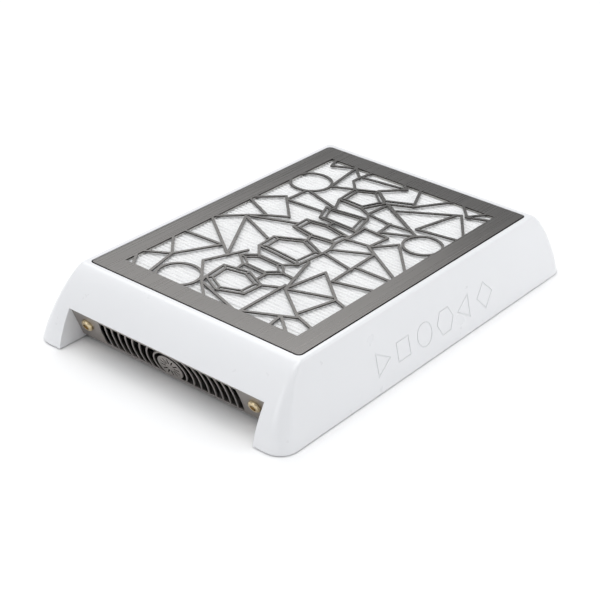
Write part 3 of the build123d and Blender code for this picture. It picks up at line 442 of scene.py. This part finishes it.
def fibrous(name, dark, light, fibre_scale, depth, sheen=0.15):
    """Pressed fibre, as in card and filter paper."""
    look = Look(name, roughness=0.9)
    tangle = look.noise(fibre_scale, 6, 0.7)
    streaks = look.noise(1.0, 5, 0.65, look.stretched(180, 1500, 1500))
    fibres = look.math("ADD", look.math("MULTIPLY", tangle, 0.6), look.math("MULTIPLY", streaks, 0.4))
    look.colour(look.mixed(look.spread(fibres, 0.35, 0.65, 0.0, 1.0), dark, light))
    look.roughness(tangle, 0.82, 0.96)
    look.set(Sheen_Weight=sheen, Sheen_Roughness=0.6)
    look.bump(fibres, depth * MM, 0.7)
    return look


def filter_paper():
    look = fibrous("filter_paper", (0.955, 0.955, 0.945), (0.985, 0.985, 0.98), 1300, 0.02)
    look.set(Subsurface_Weight=0.5, Subsurface_Scale=0.002, Subsurface_Radius=(1.0, 1.0, 0.95))
    return look.material


def laminated_steel():
    look = Look("core_steel", roughness=0.4, metallic=1.0)
    varied(look, (0.22, 0.22, 0.235), (0.36, 0.36, 0.37), 300)
    look.roughness(look.noise(500, 3), 0.32, 0.5)
    look.bump(look.stripes("Z", 0.5 * MM, 0.8), 0.05 * MM, 0.8)
    return look.material


def copper_wire():
    look = Look("winding", roughness=0.3, metallic=1.0)
    varied(look, (0.50, 0.17, 0.06), (0.72, 0.30, 0.12), 400)
    look.roughness(look.noise(300, 3), 0.22, 0.4)
    look.set(Coat_Weight=0.7, Coat_Roughness=0.15, Coat_Tint=(1.0, 0.72, 0.45, 1))
    look.bump(look.noise(1600, 3), 0.01 * MM, 0.5)
    return look.material


def circuit_board():
    look = Look("board_green", roughness=0.4)
    # copper tracks showing through the solder mask
    tracks = look.stripes("X", 2.1 * MM, 0.15)
    breaks = look.spread(look.noise(90, 1), 0.47, 0.5, 0.0, 1.0)
    pattern = look.math("MULTIPLY", tracks, breaks)
    look.colour(look.mixed(pattern, (0.012, 0.095, 0.045), (0.03, 0.17, 0.075)))
    look.roughness(look.noise(200, 3), 0.32, 0.48)
    look.set(Coat_Weight=0.4, Coat_Roughness=0.2)
    look.bump(pattern, 0.04 * MM, 0.7)
    look.bump(look.noise(1500, 3), 0.008 * MM, 0.5)
    return look.material


def insulation(name, dark, light):
    look = Look(name, roughness=0.45)
    varied(look, dark, light, 120)
    look.roughness(look.noise(300, 3), 0.38, 0.55)
    look.set(Coat_Weight=0.15, Coat_Roughness=0.3)
    look.bump(look.noise(900, 4), 0.02 * MM, 0.5)
    return look.material


MATERIALS = {
    "housing_white": housing_white(),
    "grille_metal": grille_metal(),
    "vent_metal": vent_metal(),
    "base_metal": powder_coat("base_metal", (0.010, 0.010, 0.011), (0.020, 0.020, 0.022), 0.62),
    "brass_screw": polished_metal("brass_screw", (0.52, 0.41, 0.24), (0.72, 0.60, 0.39), 0.16),
    "dark_screw": polished_metal("dark_screw", (0.03, 0.03, 0.032), (0.07, 0.07, 0.075), 0.38),
    "steel_screw": polished_metal("steel_screw", (0.50, 0.50, 0.50), (0.68, 0.68, 0.67), 0.28),
    "foot_rubber": rubber("foot_rubber", (0.015, 0.015, 0.016), (0.035, 0.035, 0.037)),
    "filter_card": fibrous("filter_card", (0.74, 0.73, 0.70), (0.84, 0.83, 0.80), 700, 0.06).material,
    "filter_paper": filter_paper(),
    "foam": foam(),
    "deck_metal": satin_metal("deck_metal", (0.52, 0.53, 0.54), (0.66, 0.67, 0.68), 0.36).material,
    "fan_plastic": moulded("fan_plastic", (0.016, 0.016, 0.018), (0.028, 0.028, 0.031), 0.5),
    "guard_steel": powder_coat("guard_steel", (0.02, 0.02, 0.02), (0.04, 0.04, 0.04), 0.42),
    "motor_metal": polished_metal("motor_metal", (0.50, 0.51, 0.53), (0.66, 0.67, 0.69), 0.34, 0.3),
    "bearing_steel": polished_metal("bearing_steel", (0.56, 0.56, 0.57), (0.72, 0.72, 0.73), 0.18),
    "core_steel": laminated_steel(),
    "winding": copper_wire(),
    "can_steel": satin_metal("can_steel", (0.42, 0.42, 0.43), (0.55, 0.55, 0.56), 0.32, "z").material,
    "magnet": polished_metal("magnet", (0.30, 0.30, 0.31), (0.42, 0.42, 0.43), 0.3),
    "black_plastic": moulded("black_plastic", (0.012, 0.012, 0.013), (0.022, 0.022, 0.024), 0.46, 0.03),
    "rocker_plastic": moulded(
        "rocker_plastic", (0.012, 0.012, 0.013), (0.018, 0.018, 0.02), 0.28, 0.005, 0.5
    ),
    "contact_brass": polished_metal("contact_brass", (0.60, 0.45, 0.20), (0.76, 0.60, 0.32), 0.26),
    "nut_metal": polished_metal("nut_metal", (0.52, 0.52, 0.52), (0.68, 0.68, 0.68), 0.26),
    "board_green": circuit_board(),
    "component_black": moulded("component_black", (0.014, 0.014, 0.016), (0.03, 0.03, 0.032), 0.42, 0.02),
    "lead_black": insulation("lead_black", (0.012, 0.012, 0.012), (0.022, 0.022, 0.022)),
    "lead_red": insulation("lead_red", (0.34, 0.016, 0.014), (0.46, 0.03, 0.024)),
}

for part in frame["record"]["subparts"]:
    for place in nodes[part["node"]].material_slots:
        place.material = MATERIALS[part["material_slot"]]


# ---------------------------------------------------------------- pieces
def piece(name, mesh, material, body):
    """Turns a bmesh into a named piece that rides on a body."""
    bmesh.ops.recalc_face_normals(mesh, faces=mesh.faces)
    data = bpy.data.meshes.new(name)
    mesh.to_mesh(data)
    mesh.free()
    data.materials.append(MATERIALS[material])
    obj = bpy.data.objects.new(name, data)
    bpy.context.scene.collection.objects.link(obj)
    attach(obj, body)
    return obj


# ---------------------------------------------------------------- pleated filter paper
PLEATS = 62
PAPER = 0.4 * MM
FOLD = 1.55 * MM             # half the width of a rounded fold
FOLD_ROUNDNESS = 0.97
ACROSS = 44
CREST_SHARES = (-1.0, -0.88, -0.6, -0.3, 0.0, 0.3, 0.6, 0.88, 1.0)
CREST_DROP = 0.75 * MM       # how far a fold falls away at its sides
PLEAT_FLOOR = 2.2 * MM       # from the filter's underside to the lowest fold
VALLEY_RISE = 0.5 * MM
EDGE_GRIP = 0.4              # how soon the paper is free of the glue at its edges
UNEVEN = 0.12                # mm, the step of a fold to either side
SWAY = (0.05, 0.16)          # mm
LIFT = (0.0, 0.35)           # mm
SLOW_WAVES, QUICK_WAVES = (1.0, 2.5), (3.0, 6.0)
STILL = (0, 0, 0, 0, (1, 1))       # a row that does not wander
VALLEY = 0.18 * MM           # half the width of the fold at the bottom


def pleated_filter():
    """One strip of paper folded up and down, each fold a little uneven, glued into the frame at its edges."""
    low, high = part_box("filter_media")
    rng = random.Random(11)
    pitch = (high.y - low.y) / PLEATS
    floor_z = low.z + PLEAT_FLOOR
    valley_z = floor_z + VALLEY_RISE
    # offsets along Y from a fold's crest, and how far down the point lies
    crest = []
    for share in CREST_SHARES:
        crest.append((share * FOLD, (1 - math.sqrt(1 - FOLD_ROUNDNESS * share * share)) * CREST_DROP))
    rows = []
    for index in range(PLEATS):
        middle = low.y + (index + 0.5) * pitch
        # each crest wanders on two waves and a small step
        phase, swing = rng.uniform(0, 2 * math.pi), rng.uniform(*SWAY)
        step = rng.uniform(-UNEVEN, UNEVEN)
        lift = rng.uniform(*LIFT)
        waves = (rng.uniform(*SLOW_WAVES), rng.uniform(*QUICK_WAVES))
        for offset, drop in crest:
            rows.append((middle + offset, high.z - PAPER / 2 - drop, phase, swing, step, lift, waves))
        if index < PLEATS - 1:
            rows.append((middle + pitch / 2 - VALLEY, valley_z, *STILL))
            rows.append((middle + pitch / 2, floor_z, *STILL))
            rows.append((middle + pitch / 2 + VALLEY, valley_z, *STILL))
    rows.insert(0, (low.y + PAPER / 2, floor_z, *STILL))
    rows.append((high.y - PAPER / 2, floor_z, *STILL))
    mesh = bmesh.new()
    layers = []
    for y, z, phase, swing, step, lift, waves in rows:
        line = []
        for column in range(ACROSS + 1):
            share = column / ACROSS
            x = low.x + share * (high.x - low.x)
            free = math.sin(math.pi * share) ** EDGE_GRIP
            sway = swing * math.sin(waves[0] * 2 * math.pi * share + phase)
            sway += 0.5 * swing * math.sin(waves[1] * 2 * math.pi * share + 2 * phase)
            dip = (lift + 0.25 * abs(sway)) * free
            line.append(mesh.verts.new((x, y + (sway + step) * free * MM, z - dip * MM)))
        layers.append(line)
    for first, second in zip(layers, layers[1:]):
        for a, b, c, d in zip(first, first[1:], second[1:], second):
            mesh.faces.new((a, b, c, d))
    bmesh.ops.recalc_face_normals(mesh, faces=mesh.faces)
    bmesh.ops.solidify(mesh, geom=mesh.faces[:], thickness=PAPER)
    # keep the strip inside the space it was given
    for vertex in mesh.verts:
        vertex.co = Vector((
            min(max(vertex.co.x, low.x), high.x),
            min(max(vertex.co.y, low.y), high.y),
            min(max(vertex.co.z, low.z), high.z),
        ))
        vertex.normal_update()
    for face in mesh.faces:
        face.smooth = True
    strip = piece("pleated_filter", mesh, "filter_paper", "filter")
    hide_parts("filter_media")


pleated_filter()
